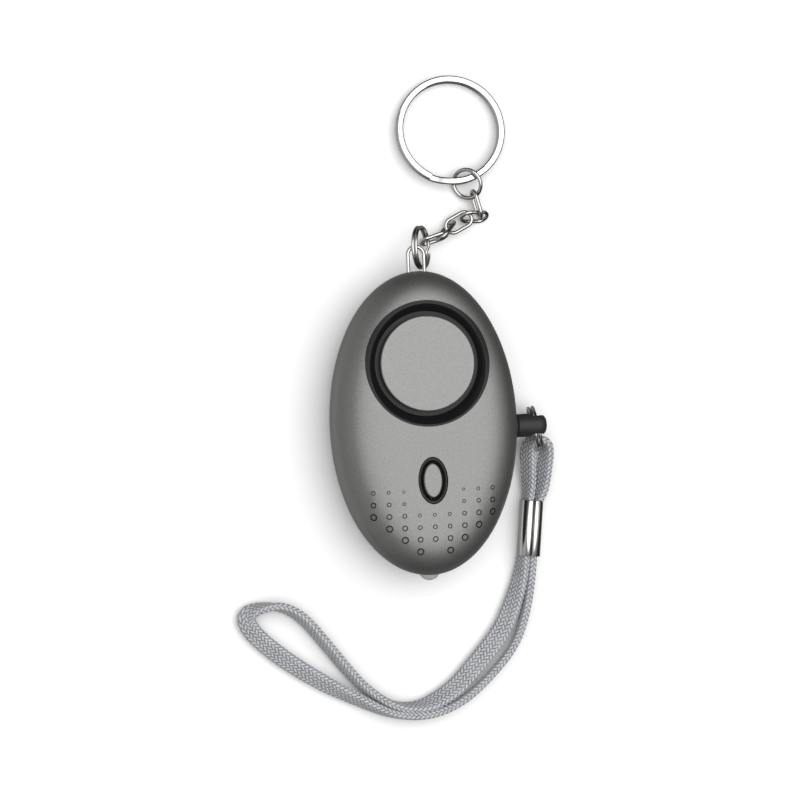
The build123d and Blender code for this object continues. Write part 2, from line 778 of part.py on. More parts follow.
with BuildPart() as battery_contacts:
    contact_low = casing_wall + contact_bow + contact_thickness
    contact_top = cell_axis_z + contact_width / 2
    for side in (-1, 1):
        near_x = side * (cell_span / 2 + contact_gap)
        far_x = near_x + side * contact_bow
        thick = side * contact_thickness
        with BuildSketch(Plane.XY.offset(contact_low)):
            with BuildLine():
                Polyline(
                    (near_x, siren_y), (far_x, siren_y + contact_width / 2),
                    (far_x + thick, siren_y + contact_width / 2), (near_x + thick, siren_y),
                    (far_x + thick, siren_y - contact_width / 2), (far_x, siren_y - contact_width / 2),
                    close=True,
                )
            make_face()
        extrude(amount=contact_top - contact_low)
finish(battery_contacts, "battery_contacts")

# Pull pin's socket and the two switch leaves that the pin holds apart
with BuildPart() as pin_socket:
    for inner_x, reach, radius in ((socket_inner_x, socket_length, socket_radius),
                                   (socket_seat_x, socket_flange_height, socket_flange_radius)):
        with BuildSketch(Plane.YZ.offset(inner_x)):
            with Locations((pin_y, parting_height)):
                Circle(radius)
        extrude(amount=reach)
    chamfer(pin_socket.edges().group_by(Axis.X)[-1], led_lead_inset)
    with BuildSketch(Plane.YZ.offset(socket_inner_x)):
        with Locations((pin_y, parting_height)):
            Circle(pin_radius + pin_bore_gap)
    extrude(amount=socket_length + socket_flange_height, mode=Mode.SUBTRACT)
finish(pin_socket, "pin_socket")

leaf_x = socket_inner_x - leaf_socket_gap - leaf_width / 2
with BuildPart() as pin_contacts:
    for side in (-1, 1):
        leaf_y = pin_y + side * (pin_radius + leaf_gap + leaf_thickness / 2)
        block(leaf_x, leaf_y, board_top, leaf_width, leaf_thickness, leaf_rise)
        block(leaf_x, leaf_y + side * leaf_width / 4, board_top,
              leaf_width, leaf_width / 2, leaf_thickness)
finish(pin_contacts, "pin_contacts")

# Pull pin
head_x = socket_face_x + head_gap
head_hole_x = head_x + head_length * head_hole_share
with BuildPart() as pin_shaft:
    with BuildSketch(Plane.YZ.offset(side_x - pin_depth)):
        with Locations((pin_y, parting_height)):
            Circle(pin_radius)
    extrude(amount=head_x + head_insert - side_x + pin_depth)
    chamfer(pin_shaft.edges().group_by(Axis.X)[0], pin_radius / 2)
finish(pin_shaft, "pin_shaft")

with BuildPart() as pin_head:
    with BuildSketch(Plane.YZ.offset(head_x)):
        with Locations((pin_y, parting_height)):
            Circle(head_radius)
    extrude(amount=head_length)
    fillet(pin_head.edges().group_by(Axis.X)[-1], 2 * head_edge_radius)
    fillet(pin_head.edges().group_by(Axis.X)[0], head_edge_radius / 3)
    with BuildSketch(Plane.YZ.offset(head_x)):
        with Locations((pin_y, parting_height)):
            Circle(pin_radius)
    extrude(amount=head_insert, mode=Mode.SUBTRACT)
    with BuildSketch(Plane.XZ.offset(-pin_y)):
        with Locations((head_hole_x, parting_height)):
            Circle(head_hole_radius)
    extrude(amount=head_radius + overrun, both=True, mode=Mode.SUBTRACT)
finish(pin_head, "pin_head")

# Split ring through the pin head
lean, yaw = math.radians(pin_ring_lean), math.radians(pin_ring_yaw)
ring_down = Vector(-math.sin(lean), 0, -math.cos(lean))
ring_level = Vector(math.sin(yaw), -math.cos(yaw), 0)
pin_ring_centre = Vector(head_hole_x + pin_ring_shift, pin_y - pin_ring_slip, parting_height + pin_ring_rise)
pin_ring_centre += ring_down * pin_ring_radius
pin_ring_place = Plane(origin=pin_ring_centre, x_dir=ring_level, z_dir=ring_level.cross(ring_down))
with BuildPart() as pin_ring:
    split_ring(pin_ring_place, pin_ring_radius, pin_ring_wire, pin_ring_wire, 0, pin_ring_turn_gap, pin_seam)
finish(pin_ring, "pin_ring")

# Wrist strap: crimp, neck and loop
strap_height = crimp_floor_gap + crimp_wall + crimp_face_gap + strap_width / 2
along, across = math.radians(crimp_turn), math.radians(neck_tilt)
crimp_down = Vector(-math.sin(along), -math.cos(along), 0)
crimp_across = Vector(math.cos(along), -math.sin(along), 0)
crimp_top = Vector(crimp_x, crimp_y, strap_height)
crimp_inner_width = strand_spacing + strap_thickness + 2 * crimp_side_gap
crimp_inner_height = strap_width + 2 * crimp_face_gap
crimp_place = Plane(origin=crimp_top, x_dir=crimp_across, z_dir=crimp_down)
with BuildPart() as strap_crimp:
    with BuildSketch(crimp_place):
        RectangleRounded(crimp_inner_width + 2 * crimp_wall, crimp_inner_height + 2 * crimp_wall,
                         crimp_corner)
        RectangleRounded(crimp_inner_width, crimp_inner_height, crimp_corner - crimp_wall,
                         mode=Mode.SUBTRACT)
        with Locations((0, crimp_inner_height / 2)):
            Rectangle(crimp_seam, 4 * crimp_wall, mode=Mode.SUBTRACT)
    extrude(amount=crimp_length)
finish(strap_crimp, "strap_crimp")

neck_up = Vector(0, 0, math.sin(across)) - crimp_down * math.cos(across)
neck_place = Plane(origin=crimp_top, x_dir=crimp_across, z_dir=crimp_across.cross(neck_up))
neck_points = [(u * neck_reach, v * neck_reach) for u, v in neck_shares]
with BuildPart() as strap_neck:
    neck_length = strap(neck_place, neck_points, "strap_neck")
finish(strap_neck, "strap_neck")

strand_x = strand_spacing / 2
floor_place = Plane.XY.offset(strap_height)
crimp_low = crimp_top + crimp_down * crimp_length
loop_top = crimp_top + crimp_down * loop_seat
loop_route = [loop_top + crimp_across * strand_x,
              crimp_low + crimp_across * strand_x + crimp_down * exit_runs[0]]
loop_route += [crimp_low + Vector(u * loop_reach, v * loop_reach, 0) for u, v in loop_shares]
loop_route += [crimp_low - crimp_across * strand_x + crimp_down * exit_runs[1],
               loop_top - crimp_across * strand_x]
with BuildPart() as strap_loop:
    loop_length = strap(floor_place, [(spot.X, spot.Y) for spot in loop_route], "strap_loop")
finish(strap_loop, "strap_loop")
for piece, length in ((strap_neck, neck_length), (strap_loop, loop_length)):
    fill = piece.part.volume / (strap_width * strap_thickness * length)
    print("strap run", round(length, 1), "filled", round(fill, 4))

# Bail
with BuildPart() as bail:
    bail_crown_y = half_length + bail_reach - bail_wire / 2 - bail_leg
    with BuildLine(Plane.XY.offset(parting_height)) as bail_route:
        FilletPolyline(
            (-bail_leg - bail_foot, bail_root_y), (-bail_leg, bail_root_y), (-bail_leg, bail_crown_y),
            radius=bail_bend,
        )
        CenterArc((0, bail_crown_y), bail_leg, 180, -180)
        FilletPolyline(
            (bail_leg, bail_crown_y), (bail_leg, bail_root_y), (bail_leg + bail_foot, bail_root_y),
            radius=bail_bend,
        )
    with BuildSketch(Plane(origin=bail_route.line @ 0, z_dir=bail_route.line % 0)):
        Circle(bail_wire / 2)
    sweep(path=bail_route.line)
finish(bail, "bail")

# Small split ring on the bail
small_lean = math.radians(small_ring_lean)
small_ring_down = Vector(math.cos(small_lean), 0, -math.sin(small_lean))
small_ring_normal = Vector(math.sin(small_lean), 0, math.cos(small_lean))
small_ring_centre = Vector(
    small_ring_x, half_length + bail_reach - small_ring_overhang, parting_height - small_ring_drop)
with BuildPart() as body_ring:
    small_place = Plane(origin=small_ring_centre, x_dir=small_ring_down, z_dir=small_ring_normal)
    split_ring(small_place, small_ring_radius, small_ring_wire, small_ring_wire, 0,
               small_ring_turn_gap, small_seam)
finish(body_ring, "body_ring")

# Chain: every link's place follows from the one before it
chain_centres = [small_ring_centre]
for share in (*link_step_shares, jump_step_share, key_step_share):
    chain_centres.append(chain_centres[-1] + Vector(*share) * link_length)
link_places = [leaning_plane(centre, *turns) for centre, turns in zip(chain_centres[1:], link_turns)]

with BuildPart() as chain_link_1:
    oval_link(link_places[0])
finish(chain_link_1, "chain_link_1")

with BuildPart() as chain_link_2:
    oval_link(link_places[1])
finish(chain_link_2, "chain_link_2")

with BuildPart() as chain_link_3:
    oval_link(link_places[2])
finish(chain_link_3, "chain_link_3")

with BuildPart() as chain_link_4:
    oval_link(link_places[3])
finish(chain_link_4, "chain_link_4")

with BuildPart() as chain_link_5:
    oval_link(link_places[4])
finish(chain_link_5, "chain_link_5")

# Jump ring: one turn of wire whose ends meet
with BuildPart() as jump_ring:
    jump_place = leaning_plane(chain_centres[-2], *jump_turns)
    jump_gap = math.degrees(slip_gap / jump_ring_radius)
    jump_station = ring_station(jump_place, jump_ring_radius, jump_seam, 0)
    jump_start = wire_section(jump_station, jump_ring_wire, jump_ring_wire, 0)
    revolve(jump_start, axis=Axis(jump_place.origin, jump_place.z_dir), revolution_arc=360 - jump_gap)
finish(jump_ring, "jump_ring")

with BuildPart() as key_ring:
    key_place = leaning_plane(chain_centres[-1], *key_turns)
    split_ring(key_place, key_ring_radius, key_ring_section, key_ring_layer, key_ring_corner,
               key_ring_turn_gap, key_seam)
finish(key_ring, "key_ring")
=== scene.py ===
import math

import bmesh
import bpy
import numpy as np
from mathutils import Matrix, Vector


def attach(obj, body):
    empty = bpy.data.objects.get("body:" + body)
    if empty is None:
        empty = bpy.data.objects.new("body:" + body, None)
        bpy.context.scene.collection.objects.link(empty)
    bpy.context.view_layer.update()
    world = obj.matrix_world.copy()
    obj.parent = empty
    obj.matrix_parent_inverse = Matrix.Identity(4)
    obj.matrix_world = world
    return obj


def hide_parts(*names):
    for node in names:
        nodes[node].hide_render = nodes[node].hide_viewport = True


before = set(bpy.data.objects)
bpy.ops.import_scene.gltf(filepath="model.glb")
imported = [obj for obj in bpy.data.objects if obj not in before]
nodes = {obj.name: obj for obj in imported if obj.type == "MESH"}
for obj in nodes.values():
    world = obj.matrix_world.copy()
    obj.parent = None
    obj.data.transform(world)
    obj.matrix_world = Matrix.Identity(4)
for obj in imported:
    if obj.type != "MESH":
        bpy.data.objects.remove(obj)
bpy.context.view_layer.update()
MM = 0.001

# Camera: the photograph's viewing direction, distance and scale
CAMERA_PLACE = (-0.09146, 0.00514, 0.50059)
CAMERA_RIGHT = (0.98387, -0.04362, 0.17348)
CAMERA_UP = (0.04296, 0.99905, 0.00757)
CAMERA_LENS = 105.05
CAMERA_CLIP = 0.01
SENSOR_WIDTH = 36.0

# Crimp: where it starts, the way it points, and its rolled sheet
CRIMP_TOP = Vector((24.5, -18.0, 3.0)) * MM
CRIMP_TURN = math.radians(6.13)
CRIMP_LENGTH = 12.1 * MM
CRIMP_DOWN = Vector((-math.sin(CRIMP_TURN), -math.cos(CRIMP_TURN), 0))
CRIMP_ACROSS = Vector((math.cos(CRIMP_TURN), -math.sin(CRIMP_TURN), 0))
CRIMP_HALF_WIDTH = 2.1 * MM
CRIMP_HALF_HEIGHT = 2.68 * MM
CRIMP_WALL = 0.38 * MM
CRIMP_CORNER = 1.5 * MM
CRIMP_SEAM = 0.08 * MM
CRIMP_LIP = 0.28 * MM
CRIMP_LIP_DEPTH = 0.1 * MM
CRIMP_EDGE = 0.12 * MM
CRIMP_END_WALL_SHARE = 0.6
CORNER_POINTS = 16
LIP_POINTS = 8
CRIMP_SHARP_ANGLE = math.radians(50)

# Strap: the loop has the solid's own points in plan, and its ends start lower in the crimp. The neck
# has points of its own, set after the photograph, with its ends further down in the crimp.
# A lean is in degrees, positive to the left of the way along the strap.
STRAP_WIDTH = 4.6 * MM
STRAP_THICKNESS = 1.7 * MM
STRAP_CENTRE_Z = 3.0 * MM
STRAND_X = 0.9 * MM
NECK_TILT = math.radians(6.7)
NECK_REACH = 14.0 * MM
NECK_UP = Vector((0, 0, math.sin(NECK_TILT))) - CRIMP_DOWN * math.cos(NECK_TILT)
NECK_SHARES = (
    (-0.064, -0.2), (-0.06, 0.15), (-0.085, 0.4), (-0.12, 0.65), (-0.13, 0.84), (-0.06, 0.96),
    (0.06, 0.985), (0.165, 0.9), (0.17, 0.7), (0.15, 0.45), (0.14, 0.2), (0.075, 0.0), (0.064, -0.2),
)
NECK_LEANS = (0, -14, -24, -28, -24, -12, 0, 14, 24, 28, 24, 12, 0)
LOOP_REACH = 65.0 * MM
LOOP_SHARES = (
    (-0.0185, -0.1954), (-0.0585, -0.3), (-0.1492, -0.3985), (-0.2492, -0.4785), (-0.3646, -0.5169),
    (-0.4831, -0.5062), (-0.5877, -0.4538), (-0.7138, -0.3846), (-0.8462, -0.2938), (-0.9385, -0.2092),
    (-0.9662, -0.1523), (-0.9231, -0.1231), (-0.8462, -0.12), (-0.7769, -0.1569), (-0.7015, -0.2523),
    (-0.6262, -0.3538), (-0.5677, -0.4185), (-0.4815, -0.4754), (-0.4092, -0.4862), (-0.3508, -0.4754),
    (-0.2677, -0.4292), (-0.2031, -0.3631), (-0.1123, -0.2631), (-0.0723, -0.1908),
)
LOOP_LEANS = (
    0, 0, -4, -8, -8, -5, -3, -8, -25, -45, -52, -52, -50, -20, 12,
    20, 20, 18, 12, 0, -14, -32, -46, -52, -52, -45, -20, 0,
)
EXIT_RUNS = (4.0 * MM, 3.0 * MM)
LOOP_SEAT = 4.2 * MM
LEAN_FLOOR_GAP = 0.5 * MM
LEAN_OF_FULL_DROP = 15
ROUTE_ORDER = 3
ROUTE_RESOLUTION = 32

# Braid: a two-over-two pattern whose relief follows the strands
BRAID_COLUMNS = 12
BRAID_REPEAT = 4
BRAID_PITCH = 1.0 * MM
BRAID_RELIEF = 0.26 * MM
BRAID_SUNK_SHARE = 0.4
BRAID_STEP = 0.14 * MM
BRAID_SIDES = 84
CROWN_POWER = 0.7
ARCH_POWER = 0.6
ARCH_SHARE = 0.75

# Finishes: the fineness of their grain and tones, and the painted shade in the casing's grooves
GRAIN_DETAIL = 2.0
TONE_DETAIL = 3.0
TONE_SPAN = (0.3, 0.7)
GROOVE_REACH = 0.5 * MM
GROOVE_SHADE_TONE = 0.12
GROOVE_SPAN = (0.45, 0.85)
GROOVE_SAMPLES = 8

# Floor, key light and sky
FLOOR_REACH = 3.0
KEY_PLACE = (0.12, 0.08, 1.15)
KEY_SIZE = 1.6
KEY_POWER = 14.5
BACKDROP_STRENGTH = 0.95
# Each light of the sky: the way to it, where it starts and is full (as cosines), and its strength
SKY = (
    ((0, 0, 1), -1.5, -1.0, 0.05),
    ((0, 0, 1), 0.25, 0.95, 0.45),
    ((0.5, 0.15, 0.8), 0.7, 0.98, 0.8),
    ((-1, 0, -0.1), 0.2, 0.9, 0.8),
    ((0, 0, -1), 0.2, 0.9, 0.3),
)


def add_object(name, data):
    """A new object in the scene that holds the data."""
    thing = bpy.data.objects.new(name, data)
    bpy.context.scene.collection.objects.link(thing)
    return thing


def add_camera():
    """The camera that sees the part as the photograph does."""
    camera = add_object("camera", bpy.data.cameras.new("camera"))
    camera.data.lens = CAMERA_LENS
    camera.data.sensor_width = SENSOR_WIDTH
    camera.data.clip_start = CAMERA_CLIP
    right = Vector(CAMERA_RIGHT).normalized()
    up = (Vector(CAMERA_UP) - right * right.dot(Vector(CAMERA_UP))).normalized()
    back = right.cross(up)
    turn = Matrix((right, up, back)).transposed().to_4x4()
    camera.matrix_world = Matrix.Translation(CAMERA_PLACE) @ turn
    bpy.context.scene.camera = camera


# Meshes
def tube_faces(rows, sides):
    """The four-sided faces of a tube whose rows all have the same number of points."""
    faces = []
    for row in range(rows - 1):
        low, high = row * sides, (row + 1) * sides
        for here in range(sides):
            beside = (here + 1) % sides
            faces.append((low + here, low + beside, high + beside, high + here))
    return faces


def add_smooth_piece(name, verts, faces):
    """A smooth-shaded mesh object."""
    mesh = bpy.data.meshes.new(name)
    mesh.from_pydata(verts, [], faces)
    mesh.update()
    mesh.polygons.foreach_set("use_smooth", [True] * len(mesh.polygons))
    return add_object(name, mesh)


def spline_points(name, route):
    """The points of the smooth line that has the route's points as its control points."""
    curve = bpy.data.curves.new(name, "CURVE")
    curve.dimensions = "3D"
    spline = curve.splines.new("NURBS")
    spline.points.add(len(route) - 1)
    for point, place in zip(spline.points, route):
        point.co = (*place, 1.0)
    spline.order_u = ROUTE_ORDER
    spline.use_endpoint_u = True
    curve.resolution_u = ROUTE_RESOLUTION
    holder = add_object(name, curve)
    mesh = bpy.data.meshes.new_from_object(holder)
    line = np.array([vertex.co for vertex in mesh.vertices])
    bpy.data.objects.remove(holder)
    bpy.data.meshes.remove(mesh)
    return line


def along(line):
    """Distance along a line to each of its points."""
    return np.concatenate([[0.0], np.cumsum(np.linalg.norm(np.diff(line, axis=0), axis=1))])


def even_line(line, step):
    """The same line with evenly spaced points, and the distance along it to each."""
    run = along(line)
    places = np.linspace(0, run[-1], max(2, int(round(run[-1] / step)) + 1))
    return np.stack([np.interp(places, run, line[:, axis]) for axis in range(3)], axis=1), places


# Wrist strap
def neck_route():
    """The short loop's control points, from the crimp through the pin's ring and back."""
    return [
        CRIMP_TOP + CRIMP_ACROSS * (u * NECK_REACH) + NECK_UP * (v * NECK_REACH)
        for u, v in NECK_SHARES
    ]


def loop_route():
    """The wrist loop's control points, lowered where the strap leans over."""
    low = CRIMP_TOP + CRIMP_DOWN * CRIMP_LENGTH
    top = CRIMP_TOP + CRIMP_DOWN * LOOP_SEAT
    strand = CRIMP_ACROSS * STRAND_X
    route = [top + strand, low + strand + CRIMP_DOWN * EXIT_RUNS[0]]
    route += [low + Vector((u * LOOP_REACH, v * LOOP_REACH, 0)) for u, v in LOOP_SHARES]
    route += [low - strand + CRIMP_DOWN * EXIT_RUNS[1], top - strand]
    for point, lean in zip(route, LOOP_LEANS):
        turn = math.radians(abs(lean))
        half_height = STRAP_WIDTH / 2 * math.cos(turn) + STRAP_THICKNESS / 2 * math.sin(turn)
        lying = half_height + LEAN_FLOOR_GAP
        drop = min(1.0, abs(lean) / LEAN_OF_FULL_DROP)
        point.z = STRAP_CENTRE_Z + (lying - STRAP_CENTRE_Z) * drop
    return route


def braid_height(turn, run):
    """Relief of a two-over-two braid at a turn round the strap and a distance along it, from 0 to 1."""
    one = run / BRAID_PITCH + turn * BRAID_COLUMNS
    two = run / BRAID_PITCH - turn * BRAID_COLUMNS
    place = np.mod(np.floor(one) - np.floor(two), BRAID_REPEAT)
    first_on_top = place < BRAID_REPEAT / 2
    across = np.mod(np.where(first_on_top, one, two), 1.0)
    ahead = np.mod(np.where(first_on_top, two, one), 1.0)
    ahead = (ahead + np.isin(place, (0, BRAID_REPEAT - 1))) / 2
    crown = np.sin(np.pi * across) ** CROWN_POWER
    arch = np.sin(np.pi * ahead) ** ARCH_POWER
    return crown * (1 - ARCH_SHARE + ARCH_SHARE * arch)


def strap_ways(line, points, places, route, leans, up_hint):
    """The ways across the strap's width and through its thickness at each of its points."""
    tangent = np.gradient(points, axis=0)
    tangent /= np.linalg.norm(tangent, axis=1)[:, None]
    side = np.cross(np.array(up_hint), tangent)
    side /= np.linalg.norm(side, axis=1)[:, None]
    rise = np.cross(tangent, side)
    run = along(line)
    marks = [run[np.argmin(np.linalg.norm(line - np.array(spot), axis=1))] for spot in route]
    marks[0], marks[-1] = 0.0, run[-1]
    lean = np.radians(np.interp(places, np.maximum.accumulate(marks), leans))
    broad = rise * np.cos(lean)[:, None] + side * np.sin(lean)[:, None]
    return broad, np.cross(tangent, broad)


def oval_outline(radius, flat):
    """Centres and outward ways of evenly spaced points round a flat oval."""
    bend = math.pi * radius
    centres, outward = [], []
    for place in np.arange(BRAID_SIDES) / BRAID_SIDES * (2 * flat + 2 * bend):
        if place < flat:
            centres.append((flat / 2 - place, 0))
            outward.append((0, 1))
        elif place < flat + bend:
            angle = math.pi / 2 + (place - flat) / radius
            centres.append((-flat / 2, 0))
            outward.append((math.cos(angle), math.sin(angle)))
        elif place < 2 * flat + bend:
            centres.append((place - 1.5 * flat - bend, 0))
            outward.append((0, -1))
        else:
            angle = (place - 2 * flat - bend) / radius - math.pi / 2
            centres.append((flat / 2, 0))
            outward.append((math.cos(angle), math.sin(angle)))
    return np.array(centres), np.array(outward)


def braided_strap(name, route, leans, up_hint):
    """A flat braided strap as a displaced tube that follows the route's smooth line."""
    line = spline_points(name + "_line", route)
    points, places = even_line(line, BRAID_STEP)
    broad, thin = strap_ways(line, points, places, route, leans, up_hint)
    radius = STRAP_THICKNESS / 2 - BRAID_RELIEF / 2
    centre, outward = oval_outline(radius, STRAP_WIDTH - STRAP_THICKNESS)
    turn = np.arange(BRAID_SIDES) / BRAID_SIDES
    height = braid_height(turn[None, :], places[:, None])
    reach = radius + BRAID_RELIEF * (height - BRAID_SUNK_SHARE)
    section = centre[None] + outward[None] * reach[:, :, None]
    verts = points[:, None] + section[:, :, :1] * broad[:, None] + section[:, :, 1:] * thin[:, None]
    faces = tube_faces(len(points), BRAID_SIDES)
    faces.append(tuple(range(BRAID_SIDES - 1, -1, -1)))
    faces.append(tuple((len(points) - 1) * BRAID_SIDES + index for index in range(BRAID_SIDES)))
    piece = add_smooth_piece(name, verts.reshape(-1, 3).tolist(), faces)
    # Painted shade: the braid's relief height is kept per point, so the colour darkens between the strands
    relief_shade = piece.data.color_attributes.new("relief_shade", "FLOAT_COLOR", "POINT")
    tone = np.repeat(height.reshape(-1, 1), 4, axis=1).astype(np.float32)
    tone[:, 3] = 1.0
    relief_shade.data.foreach_set("color", tone.ravel())
    return piece, points


# Crimp
def arc_points(centre, radius, start, end, count):
    """Evenly spaced points of an arc, from one angle to another, in degrees."""
    turns = np.radians(np.linspace(start, end, count))
    return [(centre[0] + radius * math.cos(turn), centre[1] + radius * math.sin(turn)) for turn in turns]


def crimp_section():
    """The middle line of the rolled sheet, there and back, and the outline of its wall."""
    corner = (CRIMP_HALF_WIDTH - CRIMP_CORNER, CRIMP_HALF_HEIGHT - CRIMP_CORNER)
    lip_x = CRIMP_SEAM / 2 + CRIMP_WALL / 2
    lip_top = CRIMP_HALF_HEIGHT - CRIMP_LIP
    middle = [(lip_x, lip_top - CRIMP_LIP_DEPTH)]
    middle += arc_points((lip_x + CRIMP_LIP, lip_top), CRIMP_LIP, 180, 90, LIP_POINTS)
    middle += arc_points(corner, CRIMP_CORNER, 90, 0, CORNER_POINTS)
    middle += arc_points((corner[0], -corner[1]), CRIMP_CORNER, 0, -90, CORNER_POINTS)
    middle += [(-x, z) for x, z in reversed(middle)]
    middle = np.array(middle)
    onward = np.gradient(middle, axis=0)
    onward /= np.linalg.norm(onward, axis=1)[:, None]
    wall = np.stack([-onward[:, 1], onward[:, 0]], axis=1) * CRIMP_WALL / 2
    outline = np.concatenate([middle + wall, (middle - wall)[::-1]])
    return np.concatenate([middle, middle[::-1]]), outline


def crimp_sleeve():
    """A rolled sheet round both strands, with its two lips curled in along the seam on top."""
    middle, outline = crimp_section()
    stations = (
        (0, CRIMP_END_WALL_SHARE), (CRIMP_EDGE, 1.0),
        (CRIMP_LENGTH - CRIMP_EDGE, 1.0), (CRIMP_LENGTH, CRIMP_END_WALL_SHARE),
    )
    verts, count = [], len(outline)
    for reach, fullness in stations:
        for x, z in middle + (outline - middle) * fullness:
            verts.append(CRIMP_TOP + CRIMP_DOWN * reach + CRIMP_ACROSS * x + Vector((0, 0, z)))
    faces = tube_faces(len(stations), count)
    last = (len(stations) - 1) * count
    for here in range(count // 2 - 1):
        far = count - 1 - here
        faces.append((far - 1, far, here, here + 1))
        faces.append((last + here + 1, last + here, last + far, last + far - 1))
    piece = add_smooth_piece("crimp_sleeve", verts, faces)
    mended = bmesh.new()
    mended.from_mesh(piece.data)
    bmesh.ops.recalc_face_normals(mended, faces=mended.faces)
    mended.to_mesh(piece.data)
    mended.free()
    edge = piece.modifiers.new("edges", "EDGE_SPLIT")
    edge.split_angle = CRIMP_SHARP_ANGLE
    return piece


# Materials
def new_material(name):
    """A material with its node tree and its shader."""
    material = bpy.data.materials.new(name)
    material.use_nodes = True
    tree = material.node_tree
    return material, tree, tree.nodes["Principled BSDF"]


def set_values(node, **values):
    """Sets a node's unlinked inputs, named with underscores for spaces."""
    for name, value in values.items():
        node.inputs[name.replace("_", " ")].default_value = value


def noise_of_place(tree, scale, detail, stretch=None):
    """A noise texture laid over the object's own coordinates."""
    place = tree.nodes.new("ShaderNodeTexCoord").outputs["Object"]
    if stretch:
        mapping = tree.nodes.new("ShaderNodeMapping")
        set_values(mapping, Scale=stretch)
        tree.links.new(place, mapping.inputs["Vector"])
        place = mapping.outputs["Vector"]
    noise = tree.nodes.new("ShaderNodeTexNoise")
    set_values(noise, Scale=scale, Detail=detail)
    tree.links.new(place, noise.inputs["Vector"])
    return noise.outputs["Fac"]


def add_relief(tree, shader, height, distance, strength):
    """Bump in the shader's normal."""
    relief = tree.nodes.new("ShaderNodeBump")
    set_values(relief, Distance=distance, Strength=strength)
    tree.links.new(height, relief.inputs["Height"])
    tree.links.new(relief.outputs["Normal"], shader.inputs["Normal"])


def colour_by(tree, shader, amount, low, low_at, high, high_at):
    """Base colour that runs from a low to a high tone with an amount."""
    ramp = tree.nodes.new("ShaderNodeValToRGB")
    first, last = ramp.color_ramp.elements
    first.position, last.position = low_at, high_at
    first.color, last.color = (*low, 1), (*high, 1)
    tree.links.new(amount, ramp.inputs["Fac"])
    tree.links.new(ramp.outputs["Color"], shader.inputs["Base Color"])


def surface(name, colour, rough, grain, detail=GRAIN_DETAIL, stretch=(1, 1, 1), tones=None,
            metal=0.0, coat=0.0, specular=0.5):
    """A rigid material. Grain is its scale, depth in mm and strength, and tones their share and scale."""
    material, tree, shader = new_material(name)
    set_values(shader, Base_Color=(*colour, 1), Roughness=rough, Metallic=metal, Coat_Weight=coat,
               Specular_IOR_Level=specular)
    grain_scale, depth, strength = grain
    add_relief(tree, shader, noise_of_place(tree, grain_scale, detail, stretch), depth * MM, strength)
    if tones:
        share, tone_scale = tones
        low = [channel * (1 - share) for channel in colour]
        high = [channel * (1 + share) for channel in colour]
        amount = noise_of_place(tree, tone_scale, TONE_DETAIL)
        colour_by(tree, shader, amount, low, TONE_SPAN[0], high, TONE_SPAN[1])
    return material


def paint_groove_shade(material):
    """Paints shade into a material's colour where it lies deep in a groove or a gap."""
    tree = material.node_tree
    base = tree.nodes["Principled BSDF"].inputs["Base Color"]
    # Painted shade: the base colour is multiplied down where the surface is closed in
    openness = tree.nodes.new("ShaderNodeAmbientOcclusion")
    openness.samples = GROOVE_SAMPLES
    set_values(openness, Distance=GROOVE_REACH)
    span = tree.nodes.new("ShaderNodeMapRange")
    set_values(span, From_Min=GROOVE_SPAN[0], From_Max=GROOVE_SPAN[1], To_Min=GROOVE_SHADE_TONE)
    painted_shade = tree.nodes.new("ShaderNodeMix")
    painted_shade.data_type = "RGBA"
    painted_shade.blend_type = "MULTIPLY"
    share, colour, shade = painted_shade.inputs[0], painted_shade.inputs[6], painted_shade.inputs[7]
    share.default_value = 1.0
    tree.links.new(base.links[0].from_socket, colour)
    tree.links.new(openness.outputs["AO"], span.inputs["Value"])
    tree.links.new(span.outputs["Result"], shade)
    tree.links.new(painted_shade.outputs[2], base)


def braid_material():
    """Woven yarn with painted shade: its colour runs dark between the strands and pale on their crowns."""
    material, tree, shader = new_material("strap_braid")
    set_values(shader, Roughness=0.82, Sheen_Weight=0.25, Sheen_Roughness=0.4)
    relief_shade = tree.nodes.new("ShaderNodeVertexColor")
    relief_shade.layer_name = "relief_shade"
    fibres = noise_of_place(tree, 900.0, 3.0)
    blend = tree.nodes.new("ShaderNodeMath")
    blend.operation = "MULTIPLY_ADD"
    blend.inputs[1].default_value = 0.3
    tree.links.new(fibres, blend.inputs[0])
    tree.links.new(relief_shade.outputs["Color"], blend.inputs[2])
    # Painted shade: the crevice tone stands for the shade between the strands
    crevice_shade, crown = (0.035, 0.04, 0.05), (0.52, 0.53, 0.55)
    colour_by(tree, shader, blend.outputs["Value"], crevice_shade, 0.12, crown, 1.0)
    add_relief(tree, shader, fibres, 0.04 * MM, 0.6)
    return material


def clear_material():
    """The lamp's clear resin."""
    material, tree, shader = new_material("led_clear")
    set_values(shader, Base_Color=(0.8, 0.82, 0.83, 1), Roughness=0.08, Transmission_Weight=0.45, IOR=1.5)
    return material


# Floor and light
def add_floor():
    """A pale floor that takes light and shadow but gives none back to the part."""
    corners = [(x * FLOOR_REACH, y * FLOOR_REACH, 0) for x, y in ((-1, -1), (1, -1), (1, 1), (-1, 1))]
    mesh = bpy.data.meshes.new("floor")
    mesh.from_pydata(corners, [], [(0, 1, 2, 3)])
    floor = add_object("floor", mesh)
    material, tree, shader = new_material("floor")
    set_values(shader, Base_Color=(0.9, 0.9, 0.9, 1), Roughness=0.9, Specular_IOR_Level=0.1)
    mesh.materials.append(material)
    floor.visible_glossy = False
    floor.visible_diffuse = False


def add_key_light():
    """A broad round light high over the part, a little to the right."""
    light = bpy.data.lights.new("key", "AREA")
    light.shape = "DISK"
    light.size = KEY_SIZE
    light.energy = KEY_POWER
    lamp = add_object("key", light)
    lamp.location = KEY_PLACE
    lamp.rotation_euler = (-Vector(KEY_PLACE)).to_track_quat("-Z", "Y").to_euler()


